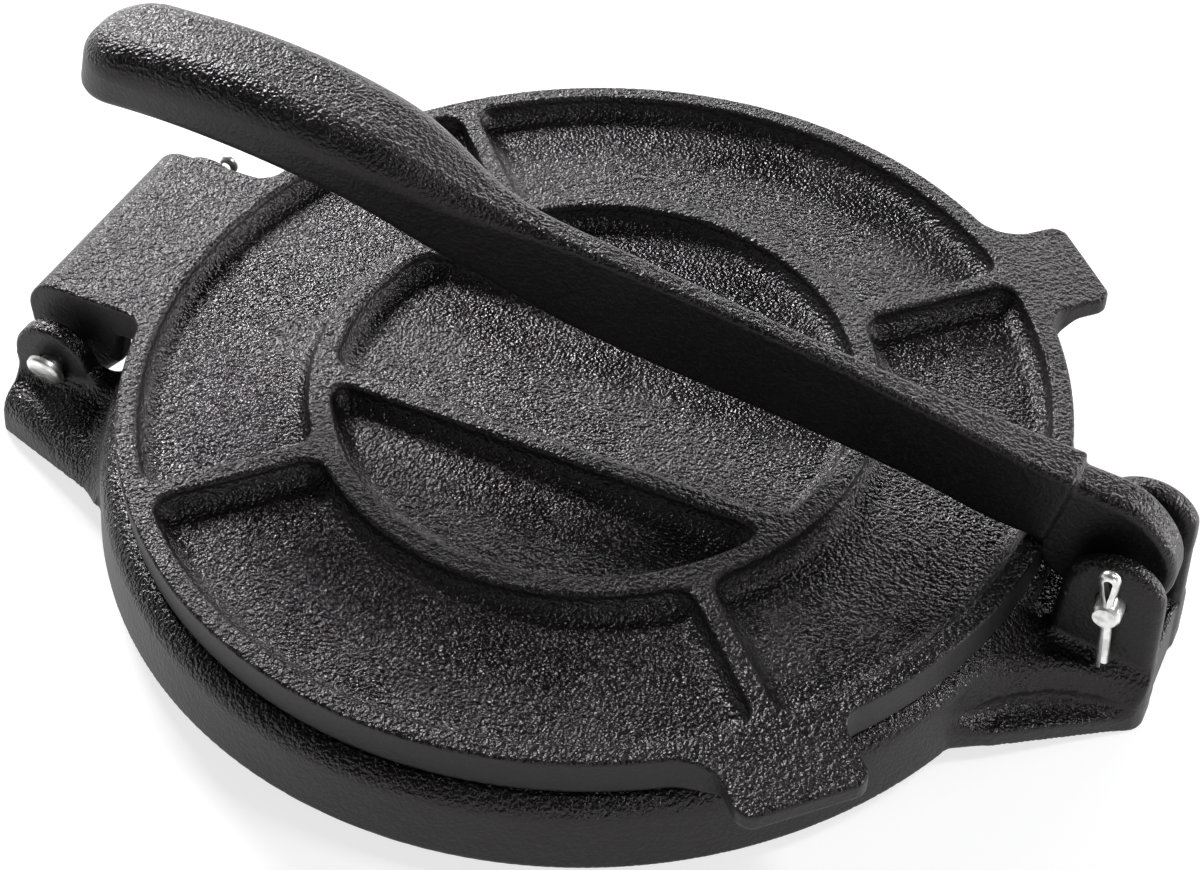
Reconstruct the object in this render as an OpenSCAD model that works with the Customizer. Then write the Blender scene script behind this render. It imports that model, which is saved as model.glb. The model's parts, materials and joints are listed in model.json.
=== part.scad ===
// Cast iron tortilla press, closed, with its lever folded back over the top plate.
// Millimetres. +X runs from the hinge to the lever pivot, +Z is up, the table is z = 0.

/* [Pressing plates] */
// radius of the top plate
plate_r = 102; // [80:0.5:130]
// height of the top plate's upper face above the table
plate_top = 33.2; // [28:0.1:45]
// thickness of the top plate at its rim
plate_t = 9.2; // [7:0.1:14]
// gap between the two plates when closed
plate_gap = 0.6; // [0.2:0.1:2]
// depth of the pockets cast into the top plate
pocket_depth = 4.7; // [2:0.1:6]
// radius of the hollow walls of the pockets
pocket_wall_r = 5; // [4:0.1:8]
// width of the rim left around the pockets
rim_w = 4.1; // [2:0.1:10]
// outer radius of the inner ring rib
ring_r = 61.7; // [40:0.1:80]
// width of the inner ring rib
ring_w = 5; // [3:0.1:8]
// width of the radial ribs and of the two bars
rib_w = 4.4; // [3:0.1:8]
// angle of the radial ribs on the lever side
rib_front_angle = 44.5; // [30:0.5:60]
// angle of the radial ribs on the hinge side
rib_rear_angle = 134.4; // [120:0.5:150]
// distance of the two bars from the centre line
bar_y = 22.9; // [15:0.1:35]

/* [Tabs of the top plate] */
// angle of the tabs on either side of the lever pivot
tab_angle = 44.3; // [30:0.1:60]
// reach of the tabs from the plate centre
tab_r = 116.9; // [105:0.1:125]
// half width of a tab
tab_half = 13.2; // [6:0.1:20]
// thickness of a tab
tab_t = 5; // [3:0.1:9]
// reach of the thicker root under a tab
tab_root_r = 107; // [103:0.1:112]

/* [Base] */
// radius of the base at its lower edge
base_r = 108.2; // [90:0.1:130]
// radius of the base where its shoulder starts
base_side_r = 106.5; // [90:0.1:130]
// radius of the rounded shoulder
shoulder_r = 5.2; // [2:0.1:8]
// offset of the base disc towards the hinge
base_shift = 1.9; // [0:0.1:4]
// height of the lower edge of the base disc above the table
base_bottom = 6; // [0:0.1:15]
// thickness of the pressing web
web_t = 4.8; // [4:0.1:9]
// width of the wall that runs round the underside
skirt_w = 7; // [5:0.5:14]
// thickness of the wall under the front of the clevis
front_wall = 5; // [3:0.5:12]

/* [Hinge] */
// distance of the hinge pin from the plate centre
hinge_x = 120.9; // [105:0.1:140]
// height of the hinge pin
hinge_z = 16.8; // [10:0.1:25]
// radius of the round tops of the ears
ear_r = 10.1; // [7:0.1:14]
// distance of the inner face of a hinge ear from the centre line
hinge_ear_in = 29.6; // [20:0.1:40]
// thickness of an ear
ear_t = 4.9; // [3:0.1:8]
// half width of the lug of the top plate
lug_half = 26.6; // [15:0.1:30]
// wall thickness of that lug
lug_wall = 5.4; // [3:0.1:8]
// radius of the rear edge of that lug
lug_corner_r = 9; // [6:0.1:12]
// rear face of the hinge lugs
rear_x = 131; // [120:0.1:145]
// outer reach of the rear arms of the base at the back
arm_half = 43.5; // [36:0.1:55]

/* [Lever pivot] */
// distance of the lever pin from the plate centre
pivot_x = 119; // [105:0.1:140]
// height of the lever pin
pivot_z = 31.6; // [25:0.1:45]
// radius of the round tops of the clevis ears
clevis_ear_r = 10.4; // [7:0.1:14]
// distance of the inner face of a clevis ear from the centre line
clevis_in = 8.2; // [5:0.1:12]
// front face of the base
front_x = 131.4; // [120:0.1:145]
// length of the flat foot under the clevis
foot_len = 4.4; // [2:0.1:12]

/* [Pins] */
// radius of both pins
pin_r = 3; // [2:0.1:5]
// radius of the bores that turn on a pin
turn_bore_r = 3.08; // [2.05:0.01:5.5]
// radius of the bores in the ears
ear_bore_r = 3.05; // [2.02:0.01:5.2]
// radius of a pin head
head_r = 4.4; // [3.5:0.1:8]
// thickness of a pin head
head_t = 1.6; // [1:0.1:4]
// radius of the wire loop of a cotter pin
cotter_loop_r = 1.7; // [1:0.1:3]
// radius of the wire of a cotter pin
cotter_wire_r = 0.8; // [0.4:0.05:1.2]
// radius of the two closed legs of a cotter pin
cotter_leg_r = 1.25; // [0.8:0.05:1.8]
// turn of the cotter pin at the hinge, loop to the rear
hinge_cotter_turn = -96; // [-180:1:180]

/* [Lever] */
// half thickness of the tongue between the clevis ears
tongue_half = 4.35; // [3:0.05:7.5]
// radius of the round end of the tongue
tongue_r = 9; // [6:0.1:12]
// end face of the wide part of the lever
beam_end = 105.8; // [100:0.1:110]
// height of the heel above the top plate
heel_gap = 1; // [0.2:0.1:3]
// half width of the grip
grip_half_w = 13.4; // [8:0.1:18]
// half height of the grip
grip_half_h = 9.1; // [6:0.1:15]
// rounding of the grip's edges
grip_round = 8.6; // [2:0.1:9]
// radius of the arch that the grip follows
grip_arc_r = 144; // [100:1:300]
// place of the top of that arch
grip_mid_x = -92; // [-100:1:-60]
// height of the grip's centre line at the top of that arch
grip_mid_z = 84.7; // [70:0.1:100]
// rear tip of the grip
grip_tip = -120.8; // [-125:0.1:-118]
// height at which the grip's end reaches its tip
grip_end_z = 79; // [76:0.1:90]
// lean of the grip's end from upright, in degrees
grip_end_tilt = 15; // [0:0.5:30]

/* [Hidden] */
$fn = 96;
plate_bottom = plate_top - plate_t;
base_top = plate_bottom - plate_gap;
base_flat_r = base_side_r - shoulder_r;
pocket_floor = plate_top - pocket_depth;
web_bottom = base_top - web_t;
skirt_r = base_r - skirt_w;
heel_z = plate_top + heel_gap;
hinge_ear_out = hinge_ear_in + ear_t;
clevis_out = clevis_in + ear_t;

// closes a half outline of [x, y] points with its mirror image across the centre line
function mirrored(half) =
  concat(half, [for (i = [len(half) - 1:-1:0]) [half[i][0], -half[i][1]]]);

// lays a side view drawn as [x, z] across the centre line
module across(y0, y1) {
  translate([0, y1, 0]) rotate([90, 0, 0]) linear_extrude(y1 - y0) children();
}

module cross_bore(x, z, r, reach) {
  translate([x, reach, z]) rotate([90, 0, 0]) cylinder(r = r, h = 2 * reach);
}

// half section of a round pocket between two radii, with hollow walls
module pocket_section(r_in, r_out) {
  intersection() {
    union() {
      translate([r_in + pocket_wall_r, plate_top]) circle(pocket_wall_r);
      translate([r_out - pocket_wall_r, plate_top]) circle(pocket_wall_r);
      translate([r_in + pocket_wall_r, plate_top - pocket_wall_r])
        square([r_out - r_in - 2 * pocket_wall_r, 2 * pocket_wall_r]);
    }
    translate([r_in - 1, pocket_floor]) square([r_out - r_in + 2, 2 * pocket_depth]);
  }
}

module centre_pocket_section(r_out) {
  intersection() {
    union() {
      translate([r_out - pocket_wall_r, plate_top]) circle(pocket_wall_r);
      translate([-1, plate_top - pocket_wall_r])
        square([r_out + 1 - pocket_wall_r, 2 * pocket_wall_r]);
    }
    translate([0, pocket_floor]) square([r_out + 2, 2 * pocket_depth]);
  }
}

// cross section of a rib that stands in a pocket
module rib_section() {
  foot = rib_w / 2 + pocket_wall_r;
  difference() {
    translate([-foot, pocket_floor - 1]) square([2 * foot, pocket_depth + 1]);
    for (side = [-1, 1]) translate([side * foot, plate_top]) circle(pocket_wall_r);
    for (side = [-1, 1])
      translate([side * foot - pocket_wall_r * 0.33, plate_top - pocket_depth / 2])
        square([pocket_wall_r * 0.66, 2 * pocket_depth + 4], center = true);
  }
}

module radial_rib(angle) {
  rotate([0, 0, angle]) translate([ring_r - ring_w / 2, 0, 0])
    rotate([90, 0, 90]) linear_extrude(plate_r - rim_w / 2 - ring_r + ring_w / 2)
      rib_section();
}

module bar(side) {
  half = sqrt(pow(ring_r - ring_w / 2, 2) - pow(bar_y, 2));
  translate([-half, side * bar_y, 0]) rotate([90, 0, 90]) linear_extrude(2 * half) rib_section();
}

module tab(angle) {
  rotate([0, 0, angle]) difference() {
    union() {
      translate([0, 0, plate_top - tab_t]) linear_extrude(tab_t)
        polygon([[92, -tab_half - 7], [99.6, -tab_half - 4.6], [102.6, -tab_half - 1.6],
                 [105.6, -tab_half], [tab_r - 3.4, -tab_half], [tab_r - 0.8, -tab_half + 1.4],
                 [tab_r, -tab_half + 4.2], [tab_r, tab_half - 4.2], [tab_r - 0.8, tab_half - 1.4],
                 [tab_r - 3.4, tab_half], [105.6, tab_half], [102.6, tab_half + 1.6],
                 [99.6, tab_half + 4.6], [92, tab_half + 7]]);
      translate([0, 0, plate_top - tab_t]) rotate([90, 0, 0])
        linear_extrude(2 * tab_half - 2, center = true)
          polygon([[98, 0.5], [98, tab_t - plate_t], [tab_root_r - 5, tab_t - plate_t],
                   [tab_root_r - 2, -2], [tab_root_r + 3, 0.5]]);
    }
    translate([0, 0, plate_bottom - 1]) cylinder(r = plate_r - rim_w + 0.3, h = plate_t + 2);
  }
}

// side view of the lug that curves down over the hinge pin
module lug_side() {
  reach = rear_x - hinge_x;
  hull() {
    translate([-hinge_x, hinge_z]) circle(reach);
    translate([-rear_x + lug_corner_r, plate_top - lug_corner_r]) circle(lug_corner_r);
    polygon([[-108.2, 15.4], [-106.4, plate_bottom], [-106.4, plate_top]]);
  }
  translate([-107, plate_bottom]) square([107 - plate_r + 5, plate_t]);
}

// the hollow under the lug, open below and at the front
module lug_hollow() {
  polygon([[-rear_x + lug_wall, 0], [-rear_x + lug_wall, plate_top - lug_corner_r],
           [-rear_x + lug_corner_r, plate_top - lug_wall], [-106.6, plate_top - lug_wall],
           [-103.6, plate_bottom], [-103.6, 0]]);
}

module top_plate() {
  color("dimgray") difference() {
    union() {
      rotate_extrude() difference() {
        translate([0, plate_bottom]) square([plate_r, plate_t]);
        pocket_section(ring_r, plate_r - rim_w);
        centre_pocket_section(ring_r - ring_w);
      }
      for (a = [rib_front_angle, rib_rear_angle]) {
        radial_rib(a);
        radial_rib(-a);
      }
      for (side = [-1, 1]) bar(side);
      for (side = [-1, 1]) tab(side * tab_angle);
      difference() {
        across(-lug_half, lug_half) lug_side();
        across(-lug_half + lug_wall, lug_half - lug_wall) lug_hollow();
      }
    }
    cross_bore(-hinge_x, hinge_z, turn_bore_r, lug_half + 2);
  }
}

// side view of a clevis ear with its leg
module clevis_ear_side() {
  translate([pivot_x, pivot_z]) circle(clevis_ear_r);
  polygon([[pivot_x - clevis_ear_r + 0.2, pivot_z - 1], [pivot_x - clevis_ear_r - 0.5, 21],
           [pivot_x - clevis_ear_r - 1.9, 15], [pivot_x - clevis_ear_r - 1.9, 4.5], [front_x - foot_len, 0],
           [front_x - 0.5, 0], [front_x, 0.5], [pivot_x + clevis_ear_r - 0.2, pivot_z - 1]]);
}

module hinge_ear_side() {
  translate([-hinge_x, hinge_z]) circle(ear_r);
  polygon([[-hinge_x - ear_r + 0.2, hinge_z - 1], [-rear_x - 0.4, 9],
           [-rear_x - 0.4, 0], [-hinge_x + ear_r, 3], [-hinge_x + ear_r + 8, 12],
           [-hinge_x + ear_r - 0.2, hinge_z + 1]]);
}

module base_disc() {
  translate([-base_shift, 0, 0]) rotate_extrude() {
    translate([0, base_bottom]) square([base_flat_r, base_top - base_bottom]);
    polygon([[base_flat_r - 1, base_bottom], [base_r, base_bottom],
             [base_side_r, base_top - shoulder_r], [base_flat_r - 1, base_top - shoulder_r]]);
    translate([base_flat_r, base_top - shoulder_r]) circle(shoulder_r);
  }
}

module underside_hollow() {
  corner_r = 4;
  translate([-base_shift, 0, 0]) rotate_extrude() {
    translate([0, base_bottom - 1]) square([skirt_r, web_bottom - base_bottom + 1 - corner_r]);
    square([skirt_r - corner_r, web_bottom]);
    translate([skirt_r - corner_r, web_bottom - corner_r]) circle(corner_r);
  }
}

// front lug: a sloping block on a wider foot flange
module front_lug() {
  intersection() {
    linear_extrude(40)
      polygon(mirrored([[94, 36], [97, 33.6], [103, 27.4], [110.9, 20.8], [116.3, 17.6],
                        [122.2, 15.6], [front_x, 13.5]]));
    across(-50, 50)
      polygon([[94, 9], [94, 20.6], [102.5, 18.4], [111, 16.8], [122, 15],
               [front_x - 2, 13.6], [front_x, 11.6], [front_x, 0.3]]);
  }
  intersection() {
    linear_extrude(40)
      polygon(mirrored([[94, 45], [98.6, 41.3], [106.9, 34.3], [115.3, 27.4], [123.9, 20.5],
                        [front_x - 1.6, 15.4], [front_x, 12.9]]));
    across(-50, 50)
      polygon([[94, base_bottom + 0.4], [94, 11.4], [front_x, 4.9], [front_x, 0],
               [front_x - foot_len, 0]]);
  }
}

// one of the two arms that carry the hinge ears
module rear_arm(side) {
  mirror([0, side < 0 ? 1 : 0, 0]) hull() {
    translate([-rear_x + 1.1, arm_half - 2, 0]) cylinder(r = 1.5, h = 6.4, $fn = 32);
    translate([-rear_x + 2.1, arm_half - 3.4, 6]) sphere(r = 2.5, $fn = 32);
    translate([-rear_x + 1.1, hinge_ear_in + 1.5, 0]) cylinder(r = 1.5, h = 9.3, $fn = 32);
    translate([-rear_x + 1.1, hinge_ear_in + 4.5, 0]) cylinder(r = 1.5, h = 9.3, $fn = 32);
    translate([-rear_x + 9, arm_half + 2.8, 1.6]) cylinder(r = 1.5, h = 4, $fn = 32);
    translate([-98, hinge_ear_in, base_bottom]) cube([2, 26.5, 3]);
    translate([-98, hinge_ear_in, base_bottom]) cube([2, 12, 8.4]);
    translate([-107, arm_half - 6.5, 8.8]) sphere(r = 4, $fn = 32);
  }
}

module base_plate() {
  color("dimgray") difference() {
    union() {
      difference() {
        base_disc();
        underside_hollow();
      }
      front_lug();
      for (side = [-1, 1]) {
        rear_arm(side);
        y = side > 0 ? hinge_ear_in : -hinge_ear_out;
        across(y, y + ear_t) hinge_ear_side();
        c = side > 0 ? clevis_in : -clevis_out;
        across(c, c + ear_t) clevis_ear_side();
      }
    }
    across(-clevis_in, clevis_in)
      polygon([[104, -1], [front_x - front_wall, -1], [front_x - front_wall, 8.6], [104, 11]]);
    cross_bore(-hinge_x, hinge_z, ear_bore_r, hinge_ear_out + 2);
    cross_bore(pivot_x, pivot_z, ear_bore_r, clevis_out + 2);
    across(-hinge_ear_in, hinge_ear_in)
      polygon([[-140, -1], [-109.8, -1], [-109.8, base_bottom], [-108.2, base_top + 1],
               [-140, base_top + 1]]);
  }
}

// cross section of the grip, a rectangle with well rounded corners
module grip_section() {
  x = grip_half_h - grip_round;
  y = grip_half_w - grip_round;
  square([2 * grip_half_h, 2 * y], center = true);
  square([2 * x, 2 * grip_half_w], center = true);
  for (sx = [-x, x]) for (sy = [-y, y]) translate([sx, sy]) circle(grip_round);
}

// the section swept along an arc, then cut to the neck and to the blunt, leaning end
module grip() {
  intersection() {
    translate([grip_mid_x, 0, grip_mid_z - grip_arc_r]) rotate([90, 0, 0]) rotate([0, 0, 62])
      rotate_extrude(angle = 50, $fn = 200) translate([grip_arc_r, 0]) grip_section();
    across(-20, 20)
      polygon([[-33, 60.8], [-46, 67.4], [-56, 70.6], [-76, 74.3], [-98, 76], [-108, 77.1],
               [grip_tip + 1.4, 77.3], [grip_tip - 1, 79.2], [grip_tip - 1, 84],
               [grip_tip + 2.4, 87.5], [grip_tip + 4, 90.1], [grip_tip + 6.2, 92],
               [grip_tip + 9.5, 93.4], [-98, 94.6], [-76, 94.6], [-56, 90.8], [-46, 87.6],
               [-40, 85], [-33, 80]]);
    linear_extrude(110)
      polygon(mirrored([[-33, 8.6], [-36, 9.8], [-42, 11.4], [-48, 12.5], [-56, 13.2], [-76, 14],
                        [-130, 14]]));
    translate([grip_tip, 0, grip_end_z]) rotate([0, grip_end_tilt, 0])
      translate([-grip_tip, 0, -40]) linear_extrude(80)
        polygon(mirrored([[-20, 14], [-88, 13.6], [-98, 13.3], [-104, 12.9],
                          [grip_tip + 12.2, 12.2], [grip_tip + 9, 11.8], [grip_tip + 6.1, 10.6],
                          [grip_tip + 3.6, 8.6], [grip_tip + 1.6, 6.1], [grip_tip + 0.4, 3.2],
                          [grip_tip, 0]]));
  }
}

module lever_side() {
  polygon([[beam_end - 3.6, heel_z], [92, heel_z], [86.7, heel_z + 1.4], [76, 37.5], [56, 40.3],
           [36, 42.9], [15, 46], [-6, 50], [-16, 52.8], [-26, 57.5], [-36, 63.2], [-46, 67.6],
           [-46, 86], [-40, 84.4], [-36, 82.3], [-31, 78.9], [-26, 76.2], [-16, 73.2], [-6, 71.5],
           [15, 67.3], [36, 63.1], [56, 59], [76, 55.3], [92, 53.1], [beam_end - 0.6, 51.6],
           [beam_end, 50.6]]);
}

module tongue_side() {
  translate([pivot_x, pivot_z]) circle(tongue_r);
  polygon([[98, 50.8], [108, 50.2], [115.3, 49.6], [119.3, 48.1], [122.4, 45.6], [124.7, 42],
           [126.7, 36.8], [pivot_x + tongue_r - 0.1, pivot_z], [pivot_x - tongue_r + 0.1, pivot_z],
           [pivot_x - tongue_r - 2.2, heel_z], [98, heel_z]]);
}

module lever() {
  color("dimgray") difference() {
    union() {
      intersection() {
        across(-20, 20) lever_side();
        linear_extrude(110)
          polygon(mirrored([[beam_end + 2, 5.2], [86, 5], [60, 4.2], [20, 3.5], [-8, 3.5],
                            [-16, 4.2], [-26, 6.6], [-36, 8.8], [-47, 8.8]]));
      }
      across(-tongue_half, tongue_half) tongue_side();
      grip();
    }
    cross_bore(pivot_x, pivot_z, turn_bore_r, 20);
  }
}

// a pin across the centre line: head at one end, hole for the cotter at the other
module headed_pin(x, z, head_y, tail_y, hole_y, turn) {
  way = head_y < tail_y ? 1 : -1;
  difference() {
    union() {
      translate([x, min(head_y, tail_y), z]) rotate([-90, 0, 0])
        cylinder(r = pin_r, h = abs(tail_y - head_y));
      translate([x, head_y - way * head_t / 2, z]) rotate([90, 0, 0])
        cylinder(r = head_r, h = head_t, center = true);
    }
    translate([x, hole_y, z]) rotate([0, turn, 0])
      cylinder(r = cotter_leg_r + 0.15, h = 20, center = true);
  }
}

module hinge_pin() {
  color("silver") headed_pin(-hinge_x, hinge_z, -hinge_ear_out - 1.6, hinge_ear_out + 5.4,
                             hinge_ear_out + 2.8, hinge_cotter_turn);
}

module lever_pin() {
  color("silver") headed_pin(pivot_x, pivot_z, clevis_out + 0.8, -clevis_out - 5.4,
                             -clevis_out - 2.8, 0);
}

// split pin through the tail of a pin: round legs below, wire loop above
module cotter(x, y, z, turn, reach) {
  loop_z = pin_r + cotter_loop_r + 1.2;
  translate([x, y, z]) rotate([0, turn, 0]) union() {
    translate([0, 0, -reach]) cylinder(r = cotter_leg_r, h = reach + pin_r + 1.4);
    translate([0, 0, loop_z]) rotate([90, 0, 0])
      rotate_extrude() translate([cotter_loop_r, 0]) circle(cotter_wire_r, $fn = 24);
  }
}

module hinge_cotter_pin() {
  color("silver") cotter(-hinge_x, hinge_ear_out + 2.8, hinge_z, hinge_cotter_turn, 7);
}

module lever_cotter_pin() {
  color("silver") cotter(pivot_x, -clevis_out - 2.8, pivot_z, 0, 13);
}

base_plate();
top_plate();
lever();
hinge_pin();
hinge_cotter_pin();
lever_pin();
lever_cotter_pin();
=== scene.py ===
"""Looks of a cast iron tortilla press, closed, with its lever folded back over the top plate.

Each casting is a field: a function of x, y and z that is negative inside the iron and zero on its skin.
Fields are joined with rounded edges and fillets, as a foundry pattern is, and then meshed.
The pins and the cotter pins are skins stretched over rings of corners.
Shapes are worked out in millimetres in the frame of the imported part. Meshes are stored in metres.
"""

import json
import math

import bpy
import numpy as np
from mathutils import Euler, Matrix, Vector


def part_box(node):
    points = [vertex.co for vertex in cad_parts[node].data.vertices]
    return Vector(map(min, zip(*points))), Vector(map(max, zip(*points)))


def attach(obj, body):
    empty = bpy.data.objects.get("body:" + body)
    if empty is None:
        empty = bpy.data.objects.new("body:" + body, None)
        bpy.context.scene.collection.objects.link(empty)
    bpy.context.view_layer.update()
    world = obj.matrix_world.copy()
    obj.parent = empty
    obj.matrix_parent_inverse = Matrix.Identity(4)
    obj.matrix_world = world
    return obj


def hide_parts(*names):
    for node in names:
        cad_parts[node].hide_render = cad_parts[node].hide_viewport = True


MM = 0.001
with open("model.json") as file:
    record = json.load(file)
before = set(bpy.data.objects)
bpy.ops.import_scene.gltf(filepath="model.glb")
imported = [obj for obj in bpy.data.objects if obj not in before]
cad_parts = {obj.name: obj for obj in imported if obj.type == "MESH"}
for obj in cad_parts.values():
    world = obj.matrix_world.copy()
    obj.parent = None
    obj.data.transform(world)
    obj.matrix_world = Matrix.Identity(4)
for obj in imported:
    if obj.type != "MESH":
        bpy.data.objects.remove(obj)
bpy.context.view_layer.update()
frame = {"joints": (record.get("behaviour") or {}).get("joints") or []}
JOINTS = {joint["name"]: joint for joint in frame["joints"]}

# Places that the frame gives
HINGE_X, _, HINGE_Z = (value / MM for value in JOINTS["plate_hinge"]["pos_m"])
PIVOT_X, _, PIVOT_Z = (value / MM for value in JOINTS["lever_pivot"]["pos_m"])
PLATE_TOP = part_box("top_plate")[1].z / MM
REAR_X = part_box("base_plate")[0].x / MM

# Roundings used in several places
EDGE_R = 0.8
FOOT_EDGE_R = 0.7
BORE_EDGE_R = 0.3

# Top plate and its pockets
PLATE_R = 102.5
PLATE_T = 9.2
PLATE_BOTTOM = PLATE_TOP - PLATE_T
PLATE_FILLET = 4
POCKET_DEPTH = 4.7
POCKET_FLOOR = PLATE_TOP - POCKET_DEPTH
COVE = 4.65
POCKET_OUT = 97.9
RING_OUT = 61.7
RING_IN = 56.7
RIB_HALF = 2.2
RIB_ANGLES = (44.5, 134.4)
BAR_Y = 22.9
POCKET_CORNER = 4.7
TURN_BORE = 3.08
EAR_BORE = 3.05

# Tabs; of each pair the first value is for the far side, and of the fillets for the side of the hinge
TAB_START = 80
TAB_R = 117.5
TAB_HALF = 13.2
TAB_T = 4.5
TAB_THIN_R = 111
TAB_CORNER = 3.6
TAB_ANGLES = (43.8, 44.8)
TAB_FILLETS = (8, 4.5)

# Hinge lug; points give x and z
LUG_HALF = 26.6
LUG_WALL = 5.4
LUG_CORNER = 9
LUG_SIDE_R = 2
LUG_REAR = REAR_X + 0.4
LUG_ROOT_X = -98
LUG_HOLLOW_X = -103.6
LUG_HOLLOW_R = 3
LUG_LOW = (-113.8, 9.7)
LUG_BEND = (-108.2, 15.3)
LUG_HIGH = (-106.2, 24)
NO_LIMIT = -50

# Base
BASE_X = -1.9
BASE_R = 108.2
BASE_SIDE_R = 106.5
BASE_BOTTOM = 6
PLATE_GAP = 0.6
BASE_TOP = PLATE_BOTTOM - PLATE_GAP
SHOULDER = 5.2
WEB_BOTTOM = BASE_TOP - 4.8
SKIRT_R = BASE_R - 7
SKIRT_CORNER = 4

# Foot and front lug; points give x and the distance from the middle plane
FOOT_X = 130.9
FOOT_LEAN = 1.5
FOOT_TOP = 33
FOOT_INSET = 0.5
FOOT_LOW = 0.1
FOOT_TIP_X = 131
FOOT_RUN = 34
FLANGE_SIDE = ((98.6, 41.7), (128.2, 17.6))
FLANGE_HALF = 41
FLANGE_T = 4.6
BLOCK_SIDE = ((99.3, 29.2), (110.9, 19.5))
BLOCK_HALF = 14.4
BLOCK_X = 102.5
BLOCK_TOP = 18.4
BLOCK_FALL = 0.177
BLOCK_DRAFT = 0.5
BLOCK_DRAFT_DEPTH = 5.5
BLOCK_ROOT_X = 90

# Ears and rear arms; the far clevis ear is larger
EAR_R = 10.1
EAR_T = 4.9
HINGE_EAR_IN = 29.6
HINGE_WEB = ((-102.8, 12), (-111, 17.8))
CLEVIS_EAR_R = 10.4
CLEVIS_IN = 8.2
CLEVIS_BACK = (107.2, 14)
FAR_EAR_R = CLEVIS_EAR_R + 0.8
FAR_EAR_T = EAR_T + 0.5
ARM_SIDE = ((-97.6, 57), (-131.7, 43.9))
ARM_TOP = 10.2
ARM_Y = 34.7
ARM_RISE = 0.12
ARM_FALL = 0.16

# What is left open in the base
FORK_X = -109.8
NOTCH_X = 115.2
NOTCH_HALF = 11.2
NOTCH_TOP = 10.4
NOTCH_FALL = 0.1
NOTCH_BACK_X = 104
SLOT_X = 103.5
SLOT_BOTTOM = 17.5

# Lever: stations along x with the heights of its top and underside and its half width at the top
LEVER_X = (-112, -98, -84, -70, -58, -48, -42, -36, -30, -23, -15, -5, 15, 36, 56, 76, 90, 106)
LEVER_TOP = (92.6, 93.7, 93.7, 92.3, 90, 87.7, 85.8, 82.5, 78.9, 75.3, 73, 71.3, 67.9, 64.3, 60.7, 56.8,
             54.4, 51.7)
LEVER_LOW = (76.4, 76.4, 75.4, 73.7, 71.3, 68.5, 66.1, 63.3, 59.8, 56, 52.6, 49.6, 46.1, 42.9, 40.2, 37.4,
             34.4, 34.2)
LEVER_HALF = (13, 13.4, 13.4, 13.4, 13.2, 12.4, 11.6, 10.2, 8.2, 5.8, 4.1, 3.3, 2.8, 2.4, 2.5, 3.3, 4.4,
              5.2)
# rounding of the upper edges, rounding of the lower edges and lean of the sides at fewer stations
EDGE_X = (-118, -100, -50, -34, -20, 0, 106)
EDGE_TOP = (5.5, 8.6, 8.4, 6, 3.4, 1.6, 1.2)
EDGE_LOW = (2.6, 4, 5, 4, 3, 1.6, 1)
LEAN = (0.14, 0.14, 0.1, 0.02, -0.04, -0.07, -0.02)
LEAN_DEPTH = 30
LEVER_EASE = 7
GRIP_TIP = (-121.7, 79)
GRIP_END_LEAN = 0.38
GRIP_END_R = 11.4
BEAM_END = ((102.2, 34.2), (105.8, 50.6))

# Tongue of the lever
TONGUE_HALF = 4.35
TONGUE_EDGE_R = 2.2
TONGUE_SHOULDER = (112.5, 36)
TONGUE_SHOULDER_R = 13.9
TONGUE_EYE_R = 9
NECK_X = (96, 113.7)
NECK_LOW = 34.2
NECK_TOP = 51.3
NECK_TOP_X = 98
NECK_FALL = 0.092

# Pins and cotter pins
PIN_R = 3
HINGE_SEAT = 0.8
HINGE_HEAD_R = 4.5
HINGE_HEAD_Y = -36.1
HINGE_TAIL_Y = 39.9
HINGE_COTTER_Y = 37.3
HINGE_HEAD_TILT = 13
LEVER_HEAD_R = 4.4
LEVER_HEAD_Y = 13.9
LEVER_TAIL_Y = -17.4
LEVER_COTTER_Y = -15.7
LEVER_SEAT = 0.4
HEAD_T = 2.1
CROWN = 0.2
RIM_R = 1.3
LATHE_STEPS = 40
LEG_R = 1.3
LEG_GAP = 0.04
LEG_SHORTER = 1.6
WIRE_STEPS = 10
EYE_STEPS = 12
EYE_START = 200
EYE_TURN = 220
SHARP_ANGLE = 40

# Meshing
BOX_MARGIN = 2.2
NORMAL_REACH = 0.05
LEAST_SLOPE = 0.2
TINY = 1e-9

# Materials and light
SAND = 0.0007
PEBBLE = 0.0012
SWELL = 0.008
PATCH = 0.022
GRAIN_SHIFT = (0.371, 0.253, 0.138)
IRON_DARK = (0.0014, 0.0012, 0.0014, 1)
IRON_LIGHT = (0.0095, 0.0082, 0.009, 1)
STEEP_ROUGHNESS = 0.48
DRAW_MARK = 0.0007
SPECK = 0.0022
ZINC_BRIGHT = (0.9, 0.9, 0.88, 1)
ZINC_DULL = (0.68, 0.68, 0.67, 1)
WHITE = (1, 1, 1, 1)
FLOOR_GREY = (0.45, 0.45, 0.45, 1)
FLOOR_OWN_WHITE = 0.72
FLOOR_REACH = 6
WALLS = 0.9
CEILING = 0.1


# Fields
def both(a, b, r):
    """Inside a and inside b, with the edge between them rounded."""
    return np.minimum(-r, np.maximum(a, b)) + np.hypot(np.maximum(r + a, 0), np.maximum(r + b, 0))


def either(a, b, r):
    """Inside a or inside b, with a fillet between them."""
    return -both(-a, -b, r)


def without(a, b, r):
    """Inside a but not inside b, with the edge rounded."""
    return both(a, -b, r)


def line(u, v, start, end):
    """Signed distance from the line through two points, positive to the right of its direction."""
    du, dv = end[0] - start[0], end[1] - start[1]
    return ((u - start[0]) * dv - (v - start[1]) * du) / math.hypot(du, dv)


def along(x, places, values):
    """Values given at places, joined by straight lines and smoothed over LEVER_EASE to either side."""
    shifts = LEVER_EASE * np.linspace(-1, 1, 9)
    return sum(np.interp(x + shift, places, values) for shift in shifts) / len(shifts)


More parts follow.
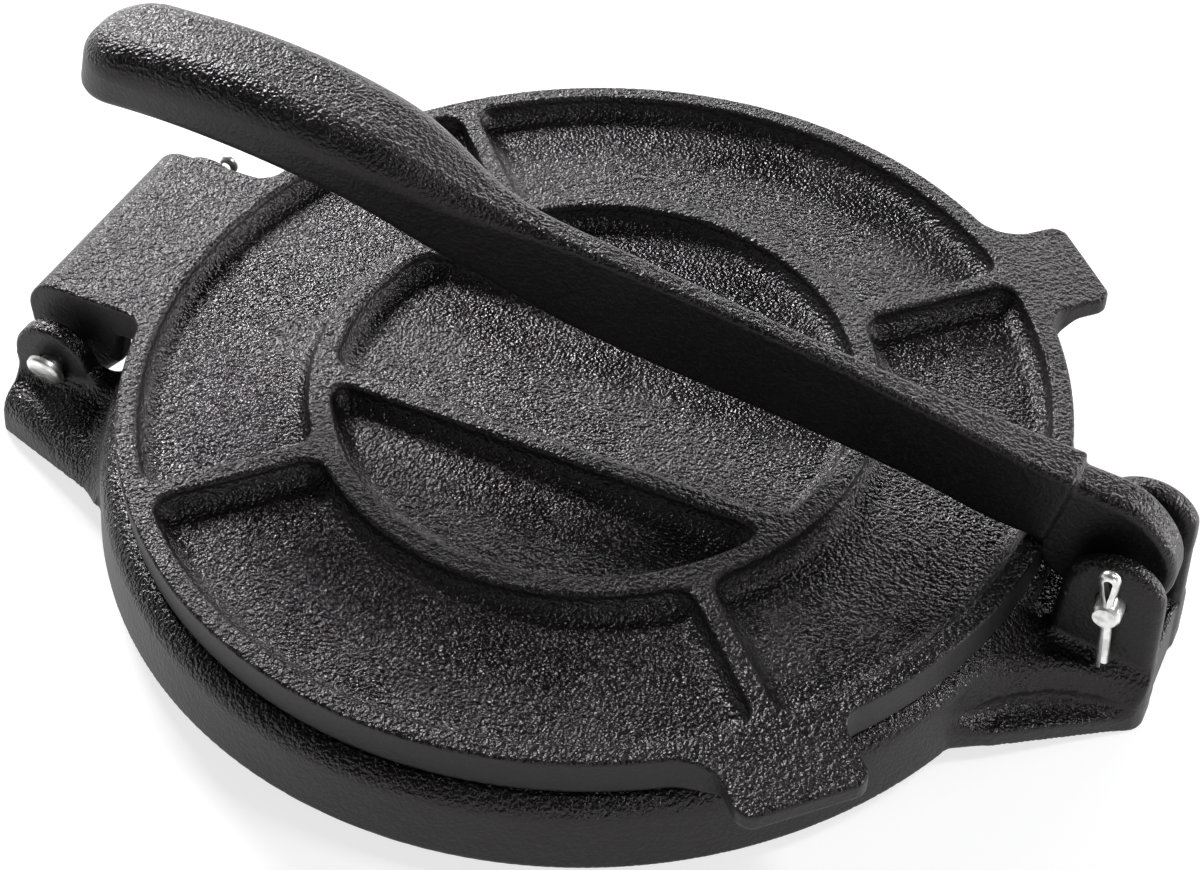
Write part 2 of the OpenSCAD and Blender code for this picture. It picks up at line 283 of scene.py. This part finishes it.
def step_between(value, low, high):
    """0 below low, 1 above high, smooth between."""
    t = np.clip((value - low) / (high - low), 0, 1)
    return t * t * (3 - 2 * t)


def slab(y, inside, thick):
    """Two upright walls, one on either side of the middle plane, that start at inside."""
    return np.abs(np.abs(y) - inside - thick / 2) - thick / 2


def around_hinge(x, z):
    """Distance from the axis of the hinge pin."""
    return np.hypot(x - HINGE_X, z - HINGE_Z)


def around_pivot(x, z):
    """Distance from the axis of the lever pin."""
    return np.hypot(x - PIVOT_X, z - PIVOT_Z)


def pockets(x, y, z):
    """The pockets cast into the top plate, with coved walls."""
    rho = np.hypot(x, y)
    rib_gaps = []
    for angle in RIB_ANGLES:
        dx, dy = math.cos(math.radians(angle)), math.sin(math.radians(angle))
        rib_gaps.append(np.abs(x * dy - np.abs(y) * dx))
    between_ribs = RIB_HALF - np.minimum(*rib_gaps)
    outer = both(np.maximum(rho - POCKET_OUT, RING_OUT - rho), between_ribs, POCKET_CORNER)
    inner = both(rho - RING_IN, RIB_HALF - np.abs(np.abs(y) - BAR_Y), POCKET_CORNER)
    return both(np.minimum(outer, inner), POCKET_FLOOR - z, COVE)


def plate_outline(x, y):
    """The round plate with its two tabs; the fillet of a tab is larger on the side of the hinge."""
    turn = np.radians(np.where(y > 0, *TAB_ANGLES))
    outward = x * np.cos(turn) + np.abs(y) * np.sin(turn)
    aside = x * np.sin(turn) - np.abs(y) * np.cos(turn)
    tab = both(np.maximum(outward - TAB_R, TAB_START - outward), np.abs(aside) - TAB_HALF, TAB_CORNER)
    return either(np.hypot(x, y) - PLATE_R, tab, np.where(aside < 0, *TAB_FILLETS))


def lug(x, y, z):
    """The hinge lug behind the plate, which curves down over the pin, and the hollow under it."""
    round_pin = around_hinge(x, z) - (HINGE_X - LUG_REAR)
    front = np.minimum(line(x, z, LUG_BEND, LUG_HIGH), PLATE_BOTTOM - z)
    behind = np.where(x < LUG_LOW[0], HINGE_Z - z, NO_LIMIT)
    below = np.maximum(line(x, z, LUG_LOW, LUG_BEND), behind)
    side = np.maximum(np.minimum(round_pin, np.maximum(front, below)), x - LUG_ROOT_X)
    body = both(side, np.abs(y) - LUG_HALF, LUG_SIDE_R)
    hollow_length = np.maximum(LUG_REAR + LUG_WALL - x, x - LUG_HOLLOW_X)
    hollow_side = both(hollow_length, z - PLATE_TOP + LUG_WALL, LUG_HOLLOW_R)
    return body, both(hollow_side, np.abs(y) - LUG_HALF + LUG_WALL, LUG_HOLLOW_R)


def top_plate(x, y, z):
    """The top plate with its tabs, its pockets and the hinge lug."""
    thinning = step_between(np.hypot(x, y), PLATE_R, TAB_THIN_R)
    tab_bottom = PLATE_BOTTOM + (PLATE_T - TAB_T) * thinning
    plate = both(plate_outline(x, y), tab_bottom - z, EDGE_R)
    lug_body, lug_hollow = lug(x, y, z)
    iron = either(plate, lug_body, PLATE_FILLET)
    crown = both(LUG_REAR - x, z - PLATE_TOP, LUG_CORNER)
    iron = both(iron, crown, 0.7)
    iron = without(iron, lug_hollow, EDGE_R)
    iron = without(iron, pockets(x, y, z), EDGE_R)
    return without(iron, around_hinge(x, z) - TURN_BORE, BORE_EDGE_R)


def base_disc(x, y, z):
    """The lower plate: a disc with a sloping side and a round shoulder."""
    rho = np.hypot(x - BASE_X, y)
    side_height = BASE_TOP - SHOULDER - BASE_BOTTOM
    side = rho - BASE_R + (BASE_R - BASE_SIDE_R) * (z - BASE_BOTTOM) / side_height
    return both(both(side, z - BASE_TOP, SHOULDER), BASE_BOTTOM - z, EDGE_R)


def foot_height(x):
    """Height of the sloping lower edge under the front lug and the rear arms."""
    return FOOT_LOW + BASE_BOTTOM * np.clip((FOOT_TIP_X - np.abs(x)) / FOOT_RUN, 0, 1.2)


def foot_front(x, y, z):
    """Front face of the foot and the ears, drawn in a little between the two legs."""
    inset = FOOT_INSET * (1 - step_between(np.abs(y), 6.5, 9))
    return line(x, z, (FOOT_X, 0), (FOOT_X - FOOT_LEAN, FOOT_TOP)) + inset


def front_lug(x, y, z):
    """A sloping block on a wider foot flange, which carries the ears of the lever."""
    away = np.abs(y)
    front = foot_front(x, y, z)
    flange_plan = both(-line(x, away, *FLANGE_SIDE), front, 2)
    flange_plan = both(flange_plan, away - FLANGE_HALF, 6)
    flange = both(flange_plan, z - foot_height(x) - FLANGE_T, 0.9)
    block_top = BLOCK_TOP - (x - BLOCK_X) * BLOCK_FALL
    draft = BLOCK_DRAFT * np.clip(block_top - z, 0, BLOCK_DRAFT_DEPTH)
    block_plan = either(-line(x, away, *BLOCK_SIDE), away - BLOCK_HALF, 9) - draft
    block = both(block_plan, z - block_top, 2)
    lug_iron = both(either(flange, block, 2.8), flange_plan, EDGE_R)
    return both(np.maximum(lug_iron, BLOCK_ROOT_X - x), foot_height(x) - z, FOOT_EDGE_R)


def clevis_ears(x, y, z):
    """Two ears with round tops on straight legs."""
    top = around_pivot(x, z) - np.where(y > 0, FAR_EAR_R, CLEVIS_EAR_R)
    back = -line(x, z, CLEVIS_BACK, (PIVOT_X - CLEVIS_EAR_R, PIVOT_Z))
    leg = np.maximum(np.maximum(foot_front(x, y, z), back), z - PIVOT_Z)
    side = np.maximum(np.minimum(top, leg), BASE_BOTTOM - z)
    thick = np.where(y > 0, FAR_EAR_T, EAR_T)
    return both(side, slab(y, CLEVIS_IN, thick), 2.2)


def rear_arms(x, y, z):
    """Arms that reach back under the hinge ears; their outer sides slope more towards the disc."""
    away = np.abs(y)
    slope = 0.17 + 0.4 * step_between(x, -126, -100)
    outer = line(x, away, *ARM_SIDE) + slope * (z - foot_height(x))
    top = z - ARM_TOP - ARM_RISE * (x - REAR_X) + ARM_FALL * (away - ARM_Y)
    arm = both(both(outer, top, 4), REAR_X - x, 1.2)
    arm = both(arm, HINGE_EAR_IN - away, 1)
    return both(np.maximum(arm, x + 95), foot_height(x) - z, FOOT_EDGE_R)


def hinge_ears(x, y, z):
    """Ears with round tops that hold the hinge pin, with a web towards the disc."""
    top = around_hinge(x, z) - EAR_R
    web = np.maximum(line(x, z, *HINGE_WEB), x + 100)
    leg = np.maximum(np.maximum(REAR_X + 0.1 - x, web), z - HINGE_Z - 1)
    side = np.maximum(np.minimum(top, leg), 3 - z)
    return both(side, slab(y, HINGE_EAR_IN, EAR_T), 1.1)


def base_hollows(x, y, z):
    """What is left open: the underside, the gap between the rear arms, the foot and the clevis slot."""
    away = np.abs(y)
    underside = both(np.hypot(x - BASE_X, y) - SKIRT_R, z - WEB_BOTTOM, SKIRT_CORNER)
    fork = both(x - FORK_X, away - HINGE_EAR_IN, 1)
    notch_top = z - NOTCH_TOP + NOTCH_FALL * (x - NOTCH_BACK_X)
    notch = both(np.maximum(np.abs(x - NOTCH_X) - NOTCH_HALF, notch_top), away - CLEVIS_IN, 1)
    slot = np.maximum(np.maximum(SLOT_X - x, SLOT_BOTTOM - z), away - CLEVIS_IN)
    return np.minimum(np.minimum(underside, fork), np.minimum(notch, slot))


def base_plate(x, y, z):
    """The base with its foot, its arms and both pairs of ears."""
    iron = either(base_disc(x, y, z), front_lug(x, y, z), 4.2)
    iron = either(iron, rear_arms(x, y, z), 4.5)
    iron = both(iron, z - BASE_TOP, 0.3)
    iron = either(iron, clevis_ears(x, y, z), np.where(y > 0, 1.5, 3))
    iron = either(iron, hinge_ears(x, y, z), 4)
    # a fillet between faces in one plane swells, so the ends are cut flush again
    iron = both(iron, np.maximum(REAR_X - x, foot_front(x, y, z)), 0.6)
    iron = without(iron, base_hollows(x, y, z), 0.9)
    bores = np.minimum(around_hinge(x, z) - EAR_BORE, around_pivot(x, z) - EAR_BORE)
    return without(iron, bores, BORE_EDGE_R)


def tongue(x, y, z):
    """The thin end of the lever: a neck, a round shoulder and the eye round the pin."""
    shoulder = np.hypot(x - TONGUE_SHOULDER[0], z - TONGUE_SHOULDER[1]) - TONGUE_SHOULDER_R
    eye = around_pivot(x, z) - TONGUE_EYE_R
    neck_height = np.maximum(z - NECK_TOP + NECK_FALL * (x - NECK_TOP_X), NECK_LOW - z)
    neck = np.maximum(neck_height, np.maximum(NECK_X[0] - x, x - NECK_X[1]))
    side = np.minimum(either(shoulder, eye, 6), neck)
    return both(side, np.abs(y) - TONGUE_HALF, TONGUE_EDGE_R)


def lever(x, y, z):
    """The grip and the beam in one curve, and the thin tongue that turns between the ears."""
    top = along(x, LEVER_X, LEVER_TOP)
    low = along(x, LEVER_X, LEVER_LOW)
    lean = along(x, EDGE_X, LEAN)
    half = along(x, LEVER_X, LEVER_HALF) - lean * np.clip(top - z, 0, LEAN_DEPTH)
    tip = (GRIP_TIP[0] - x + GRIP_END_LEAN * (z - GRIP_TIP[1])) / math.hypot(1, GRIP_END_LEAN)
    plan = both(np.abs(y) - half, tip, GRIP_END_R)
    beam = both(plan, z - top, along(x, EDGE_X, EDGE_TOP))
    beam = both(beam, low - z, along(x, EDGE_X, EDGE_LOW))
    beam = both(beam, line(x, z, *BEAM_END), EDGE_R)
    iron = either(beam, tongue(x, y, z), 1.2)
    return without(iron, around_pivot(x, z) - TURN_BORE, BORE_EDGE_R)


# Meshing
def net(field, low, high, step):
    """Corners and faces of the skin, where the field is zero: one corner in each grid cell it crosses."""
    counts = [int(math.ceil((high[k] - low[k]) / step)) + 1 for k in range(3)]
    axes = [low[k] + step * np.arange(counts[k]) for k in range(3)]
    x, y, z = np.meshgrid(*axes, indexing="ij", sparse=True)
    values = np.asarray(field(x, y, z), dtype=np.float32)
    unit = np.eye(3, dtype=int)
    ids, points, quads = [], [], []
    for axis in range(3):
        b, c = unit[(axis + 1) % 3], unit[(axis + 2) % 3]
        first = values[tuple(slice(0, -1) if k == axis else slice(None) for k in range(3))]
        second = values[tuple(slice(1, None) if k == axis else slice(None) for k in range(3))]
        cell = np.argwhere((first < 0) != (second < 0))
        at_first, at_second = first[tuple(cell.T)], second[tuple(cell.T)]
        point = cell.astype(float)
        point[:, axis] += at_first / (at_first - at_second)
        ring = [np.ravel_multi_index((cell - shift).T, counts) for shift in (b + c, c, 0 * b, b)]
        ring = np.stack(ring, axis=1)
        ring[at_first >= 0] = ring[at_first >= 0][:, ::-1]
        quads.append(ring)
        ids.append(ring.ravel())
        points.append(np.repeat(point, 4, axis=0))
    used, inverse = np.unique(np.concatenate(ids), return_inverse=True)
    share = np.bincount(inverse)
    points = np.concatenate(points)
    corners = np.stack([np.bincount(inverse, points[:, k]) / share for k in range(3)], axis=1)
    faces = np.searchsorted(used, np.concatenate(quads))
    return corners * step + np.asarray(low), faces


def gradient(field, points, reach=0.02):
    """The field's slope at points: it looks straight out of the skin."""
    slopes = []
    for axis in np.eye(3) * reach:
        ahead, behind = (points + axis).T, (points - axis).T
        slopes.append((field(*ahead) - field(*behind)) / (2 * reach))
    return np.stack(slopes, axis=1)


def settle(field, points, most):
    """Moves points onto the skin in two steps, each by most at the furthest."""
    for _ in range(2):
        slope = gradient(field, points)
        steepness = np.maximum((slope ** 2).sum(axis=1), LEAST_SLOPE)
        shift = (field(*points.T) / steepness)[:, None] * slope
        length = np.linalg.norm(shift, axis=1, keepdims=True)
        points = points - shift * np.minimum(1, most / np.maximum(length, TINY))
    return points


def link_object(name, data):
    """Puts an object with this data into the scene."""
    made = bpy.data.objects.new(name, data)
    bpy.context.scene.collection.objects.link(made)
    return made


def thinned(piece, keep):
    """The mesh of a piece with only the share keep of its faces left."""
    thin = piece.modifiers.new("thin", "DECIMATE")
    thin.ratio = keep
    bpy.context.view_layer.update()
    evaluated = piece.evaluated_get(bpy.context.evaluated_depsgraph_get())
    mesh = bpy.data.meshes.new_from_object(evaluated)
    piece.modifiers.clear()
    return mesh


def shade_by_field(mesh, field):
    """Gives a mesh the field's own normals."""
    points = np.empty(len(mesh.vertices) * 3)
    mesh.vertices.foreach_get("co", points)
    points = points.reshape(-1, 3) / MM
    normals = gradient(field, points, NORMAL_REACH)
    normals /= np.maximum(np.linalg.norm(normals, axis=1, keepdims=True), TINY)
    mesh.polygons.foreach_set("use_smooth", np.ones(len(mesh.polygons), dtype=bool))
    mesh.normals_split_custom_set_from_vertices(normals.tolist())


def casting(name, field, step, keep):
    """Meshes a field in its node's box, in cells of step, and thins the mesh to the share keep."""
    low, high = ([value / MM for value in corner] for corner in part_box(name))
    low = [value - BOX_MARGIN for value in low]
    high = [value + BOX_MARGIN for value in high]
    corners, faces = net(field, low, high, step)
    corners = settle(field, corners, 0.7 * step)
    mesh = bpy.data.meshes.new(name + "_skin")
    mesh.from_pydata((corners * MM).tolist(), [], faces.tolist())
    piece = link_object(name + "_casting", mesh)
    piece.data = thinned(piece, keep)
    shade_by_field(piece.data, field)
    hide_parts(name)
    return piece


# Pins and cotter pins
def solid(name, parts, replaced):
    """One object out of several (corners, faces) parts given in millimetres."""
    corners, faces = [], []
    for part_corners, part_faces in parts:
        faces += [[len(corners) + corner for corner in face] for face in part_faces]
        corners += [tuple(value * MM for value in corner) for corner in part_corners]
    mesh = bpy.data.meshes.new(name + "_skin")
    mesh.from_pydata(corners, [], faces)
    mesh.validate()
    mesh.shade_smooth()
    mesh.set_sharp_from_angle(angle=math.radians(SHARP_ANGLE))
    piece = link_object(name, mesh)
    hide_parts(replaced)
    return piece


def skin(rings):
    """Corners and faces of a skin over rings of the same number of corners, closed at both ends."""
    count = len(rings[0])
    faces = []
    for k in range(len(rings) - 1):
        for j in range(count):
            here, after = k * count + j, k * count + (j + 1) % count
            faces.append((here, after, after + count, here + count))
    last = (len(rings) - 1) * count
    faces += [tuple(reversed(range(count))), tuple(range(last, last + count))]
    return [corner for ring in rings for corner in ring], faces


def turned(profile, start, axis):
    """A body turned on a lathe; profile gives distance along the axis and radius."""
    axis = Vector(axis).normalized()
    aside = axis.cross(Vector((1, 0, 0))).normalized()
    across = axis.cross(aside)
    turns = [math.tau * k / LATHE_STEPS for k in range(LATHE_STEPS)]
    rings = []
    for distance, radius in profile:
        centre = Vector(start) + axis * distance
        rings.append([centre + radius * (math.cos(t) * aside + math.sin(t) * across) for t in turns])
    return skin(rings)


def dome(radius, thick):
    """Profile of a pin head: a flat back, a round rim and a low crown."""
    rim = thick * 0.45
    rim_start = thick - rim - CROWN
    profile = [(0, radius - 0.3), (0.15, radius), (rim_start, radius)]
    for degrees in range(15, 91, 15):
        turn = math.radians(degrees)
        profile.append((rim_start + rim * math.sin(turn), radius - RIM_R * (1 - math.cos(turn))))
    return profile + [(thick - 0.08, radius * 0.4), (thick, radius * 0.12)]


def shank(length):
    """Profile of a pin's shank with a chamfer at the far end."""
    return [(0, PIN_R), (length - 0.9, PIN_R), (length - 0.75, PIN_R - 0.08), (length, PIN_R - 0.55)]


def cotter_path(top, tail, eye_half, eye_low):
    """The inner side of a cotter's wire: up one leg, round the eye and down the other, shorter leg."""
    inner = eye_half - LEG_R
    eye_mid = top - LEG_R - inner
    knee_out = LEG_GAP + inner * 0.5
    knee_up = eye_low + (eye_mid - eye_low) * 0.42
    path = [(-LEG_GAP, -tail), (-LEG_GAP, 0), (-LEG_GAP, eye_low), (-knee_out, knee_up)]
    for k in range(EYE_STEPS + 1):
        turn = math.radians(EYE_START - EYE_TURN * k / EYE_STEPS)
        path.append((inner * math.cos(turn), eye_mid + inner * math.sin(turn)))
    path += [(knee_out, knee_up), (LEG_GAP, eye_low), (LEG_GAP, 0), (LEG_GAP, LEG_SHORTER - tail)]
    return [Vector(place) for place in path]


def eased(path):
    """The path with each of its corners cut off."""
    smooth = [path[0]]
    for before, here, after in zip(path, path[1:], path[2:]):
        smooth += [before * 0.15 + here * 0.85, here * 0.85 + after * 0.15]
    return smooth + [path[-1]]


def cotter(centre, top, tail, tilt, eye_half, eye_low):
    """A split pin bent from half-round wire: two legs side by side and an eye, in the plane of x and z.

    top and tail are the reach of the eye and the legs from the centre, tilt turns them about y.
    """
    path = eased(cotter_path(top, tail, eye_half, eye_low))
    last = len(path) - 1
    rings = []
    for k, place in enumerate(path):
        ahead = path[min(k + 1, last)] - path[max(k - 1, 0)]
        ahead.normalize()
        outward = Vector((-ahead.y, ahead.x))
        ring = []
        for j in range(WIRE_STEPS + 1):
            turn = math.pi * j / WIRE_STEPS
            rise = LEG_R * math.sin(turn)
            u, w = place + outward * rise
            if k in (0, last):
                w += 0.5 * (LEG_R - rise)
            x = u * math.cos(tilt) + w * math.sin(tilt)
            z = w * math.cos(tilt) - u * math.sin(tilt)
            ring.append((centre[0] + x, centre[1] + LEG_R * math.cos(turn), centre[2] + z))
        rings.append(ring)
    return skin(rings)


def pins():
    """The two headed pins and their cotter pins, as (name, parts); the hinge pin's head is tilted."""
    tilt = math.radians(HINGE_HEAD_TILT)
    hinge_head = turned(dome(HINGE_HEAD_R, HEAD_T), (HINGE_X - 0.1, HINGE_HEAD_Y, HINGE_Z + 0.5),
                        (0, -math.cos(tilt), -math.sin(tilt)))
    hinge_shank = turned(shank(HINGE_TAIL_Y - HINGE_HEAD_Y + HINGE_SEAT),
                         (HINGE_X, HINGE_HEAD_Y - HINGE_SEAT, HINGE_Z), (0, 1, 0))
    hinge_cotter = cotter((HINGE_X, HINGE_COTTER_Y, HINGE_Z), top=10.2, tail=7.5,
                          tilt=math.radians(24), eye_half=2.5, eye_low=3.4)
    lever_head = turned(dome(LEVER_HEAD_R, HEAD_T), (PIVOT_X, LEVER_HEAD_Y, PIVOT_Z), (0, 1, 0))
    lever_shank = turned(shank(LEVER_HEAD_Y - LEVER_TAIL_Y + LEVER_SEAT),
                         (PIVOT_X, LEVER_HEAD_Y + LEVER_SEAT, PIVOT_Z), (0, -1, 0))
    lever_cotter = cotter((PIVOT_X, LEVER_COTTER_Y, PIVOT_Z), top=11.7, tail=15.6,
                          tilt=math.radians(-5), eye_half=2.2, eye_low=4.2)
    return (("hinge_pin", [hinge_head, hinge_shank]), ("hinge_cotter_pin", [hinge_cotter]),
            ("lever_pin", [lever_head, lever_shank]), ("lever_cotter_pin", [lever_cotter]))


# Materials
def node(tree, kind, inputs=None, **settings):
    """Adds a node; inputs gives a constant, or a socket to link, for each input by name or number."""
    made = tree.nodes.new(kind)
    for key, value in settings.items():
        setattr(made, key, value)
    for key, value in (inputs or {}).items():
        if isinstance(value, bpy.types.NodeSocket):
            tree.links.new(value, made.inputs[key])
        else:
            made.inputs[key].default_value = value
    return made


def blank(name):
    """A new material with its tree and its shader."""
    material = bpy.data.materials.new(name)
    material.use_nodes = True
    tree = material.node_tree
    return material, tree, tree.nodes["Principled BSDF"]


def noise(tree, place, size, detail, rough=0.5):
    """Cloudy noise whose spots are about size metres wide."""
    return node(tree, "ShaderNodeTexNoise",
                {"Vector": place, "Scale": 1 / size, "Detail": detail, "Roughness": rough}).outputs["Fac"]


def spread(tree, value, low, high, to_low, to_high):
    """Maps the range low to high onto to_low to to_high, smoothly and without going past it."""
    return node(tree, "ShaderNodeMapRange",
                {"Value": value, "From Min": low, "From Max": high, "To Min": to_low, "To Max": to_high},
                interpolation_type="SMOOTHSTEP").outputs["Result"]


def blend_colour(tree, share, first, second):
    """Mixes two colours: share 0 gives the first, 1 the second."""
    return node(tree, "ShaderNodeMix", {0: share, 6: first, 7: second}, data_type="RGBA").outputs[2]


def blend_value(tree, share, first, second):
    """Mixes two values: share 0 gives the first, 1 the second."""
    return node(tree, "ShaderNodeMix", {0: share, 2: first, 3: second}, data_type="FLOAT").outputs[0]


def larger(tree, first, second):
    """The larger of two values."""
    return node(tree, "ShaderNodeMath", {0: first, 1: second}, operation="MAXIMUM").outputs[0]


def height_of(tree, coordinates):
    """The z of one of the texture coordinates."""
    vector = node(tree, "ShaderNodeTexCoord").outputs[coordinates]
    return node(tree, "ShaderNodeSeparateXYZ", {"Vector": vector}).outputs["Z"]


def bumps(tree, layers):
    """Stacks (height, distance, strength) layers of bump, the first one lowest."""
    normal = None
    for height, distance, strength in layers:
        inputs = {"Height": height, "Distance": distance, "Strength": strength}
        if normal:
            inputs["Normal"] = normal
        normal = node(tree, "ShaderNodeBump", inputs).outputs["Normal"]
    return normal


def iron_material():
    """Seasoned sand-cast iron: near-black with the grain of the sand, glossier where the oil pooled."""
    material, tree, shader = blank("cast_iron_black")
    here = node(tree, "ShaderNodeTexCoord").outputs["Object"]
    place = node(tree, "ShaderNodeVectorMath", {0: here, 1: GRAIN_SHIFT}).outputs["Vector"]
    sunk = spread(tree, height_of(tree, "Object"), (PLATE_TOP - 4) * MM, (PLATE_TOP - 1.5) * MM, 1, 0)
    upward = height_of(tree, "Normal")
    grain = spread(tree, upward, 0.1, 0.8, 0.22, 1)
    sand = noise(tree, place, SAND, 1)
    pebble = noise(tree, place, PEBBLE, 1)
    swell = noise(tree, place, SWELL, 2)
    patch = noise(tree, place, PATCH, 3)
    normal = bumps(tree, ((swell, 0.0009, 0.2), (pebble, 0.0004, grain), (sand, 0.0005, grain)))
    tree.links.new(normal, shader.inputs["Normal"])
    worn = blend_colour(tree, spread(tree, patch, 0.35, 0.68, 0, 0.4), IRON_DARK, IRON_LIGHT)
    dusty = blend_colour(tree, spread(tree, sand, 0.5, 0.66, 0, 0.8), worn, IRON_LIGHT)
    tree.links.new(dusty, shader.inputs["Base Color"])
    dry = spread(tree, patch, 0.3, 0.7, 0.27, 0.38)
    oiled = spread(tree, patch, 0.3, 0.7, 0.2, 0.3)
    level_face = spread(tree, upward, 0.05, 0.5, 0, 1)
    roughness = blend_value(tree, level_face, STEEP_ROUGHNESS, blend_value(tree, sunk, dry, oiled))
    tree.links.new(roughness, shader.inputs["Roughness"])
    shader.inputs["Specular IOR Level"].default_value = 0.36
    shader.inputs["Specular Tint"].default_value = (1, 0.95, 0.98, 1)
    return material


def steel_material():
    """Bright zinc-plated steel with draw marks and a few dull specks."""
    material, tree, shader = blank("zinc_bright")
    place = node(tree, "ShaderNodeTexCoord").outputs["Object"]
    marks = noise(tree, place, DRAW_MARK, 2)
    specks = noise(tree, place, SPECK, 3)
    normal = bumps(tree, ((specks, 0.0003, 0.25), (marks, 0.00012, 0.3)))
    tree.links.new(normal, shader.inputs["Normal"])
    colour = blend_colour(tree, spread(tree, specks, 0.4, 0.65, 0, 1), ZINC_BRIGHT, ZINC_DULL)
    tree.links.new(colour, shader.inputs["Base Color"])
    tree.links.new(spread(tree, specks, 0.4, 0.65, 0.3, 0.45), shader.inputs["Roughness"])
    shader.inputs["Metallic"].default_value = 1
    return material


def floor_material():
    """White that keeps the object's soft shadow; part of it is its own light, for the rays that show it."""
    material, tree, shader = blank("floor_white")
    shader.inputs["Base Color"].default_value = FLOOR_GREY
    shader.inputs["Roughness"].default_value = 0.9
    shader.inputs["Specular IOR Level"].default_value = 0.1
    shader.inputs["Emission Color"].default_value = WHITE
    path = node(tree, "ShaderNodeLightPath").outputs
    shown = larger(tree, path["Is Camera Ray"], path["Is Glossy Ray"])
    shown = larger(tree, shown, path["Is Transmission Ray"])
    own = node(tree, "ShaderNodeMath", {0: shown, 1: FLOOR_OWN_WHITE}, operation="MULTIPLY").outputs[0]
    tree.links.new(own, shader.inputs["Emission Strength"])
    return material


# Stage
def camera():
    """A lens with the photo's angle of view, aimed at a point near the part's middle and rolled a little."""
    data = bpy.data.cameras.new("photo_camera")
    data.sensor_width = 36
    data.lens = 67.25
    made = link_object("photo_camera", data)
    made.location = (0.15464, -0.30999, 0.37095)
    made.rotation_mode = "QUATERNION"
    aim = Vector((0.00328, -0.00409, 0.02))
    roll = Euler((0, 0, math.radians(-0.762))).to_quaternion()
    made.rotation_quaternion = (aim - made.location).to_track_quat("-Z", "Y") @ roll
    bpy.context.scene.camera = made


def lamp(name, place, aim, size, power):
    """A rectangular lamp of size metres and power watts at place, turned to aim."""
    data = bpy.data.lights.new(name, "AREA")
    data.shape = "RECTANGLE"
    data.size, data.size_y = size
    data.energy = power
    made = link_object(name, data)
    made.location = place
    made.rotation_mode = "QUATERNION"
    made.rotation_quaternion = (Vector(aim) - Vector(place)).to_track_quat("-Z", "Y")


def lay_floor():
    """A wide white sheet under the part."""
    mesh = bpy.data.meshes.new("floor")
    signs = ((-1, -1), (1, -1), (1, 1), (-1, 1))
    corners = [(FLOOR_REACH * x, FLOOR_REACH * y, 0) for x, y in signs]
    mesh.from_pydata(corners, [], [(0, 1, 2, 3)])
    floor = link_object("floor", mesh)
    mesh.materials.append(floor_material())


def studio():
    """Pale walls and a dark ceiling that light the part and show in it; the camera sees plain white."""
    world = bpy.data.worlds.new("studio")
    bpy.context.scene.world = world
    world.use_nodes = True
    tree = world.node_tree
    background = tree.nodes["Background"]
    background.inputs["Color"].default_value = WHITE
    room = spread(tree, height_of(tree, "Generated"), 0.06, 0.5, WALLS, CEILING)
    path = node(tree, "ShaderNodeLightPath").outputs
    seen = larger(tree, path["Is Camera Ray"], path["Is Transmission Ray"])
    tree.links.new(larger(tree, room, seen), background.inputs["Strength"])


def lamps():
    """A large key behind on the left, two lower ones behind and on the right, and two small fills."""
    middle = (0, 0, 0)
    lamp("softbox_key", (-0.97, 0.74, 0.74), middle, (0.45, 0.36), 28)
    lamp("strip_rear", (0.05, 1.2, 0.32), middle, (1.1, 0.12), 7)
    lamp("softbox_top", (0.6, 0.15, 1), middle, (0.22, 0.22), 4)
    lamp("softbox_front", (0.8, -0.9, 0.5), middle, (0.16, 0.16), 1.6)
    lamp("panel_right", (0.95, 0.6, 0.16), (0.08, 0, 0.03), (0.45, 0.28), 8)


# Body, node, field, cell size and share of the faces kept, of each casting
CASTINGS = (("base", "base_plate", base_plate, 0.8, 0.3),
            ("top", "top_plate", top_plate, 0.7, 0.3),
            ("lever", "lever", lever, 0.8, 0.4))

bpy.context.scene.view_settings.view_transform = "Standard"
camera()
iron = iron_material()
for body, name, field, step, keep in CASTINGS:
    piece = casting(name, field, step, keep)
    piece.data.materials.append(iron)
    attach(piece, body)
steel = steel_material()
for name, parts in pins():
    piece = solid(name + "_bright", parts, name)
    piece.data.materials.append(steel)
    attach(piece, "base")
lay_floor()
studio()
lamps()
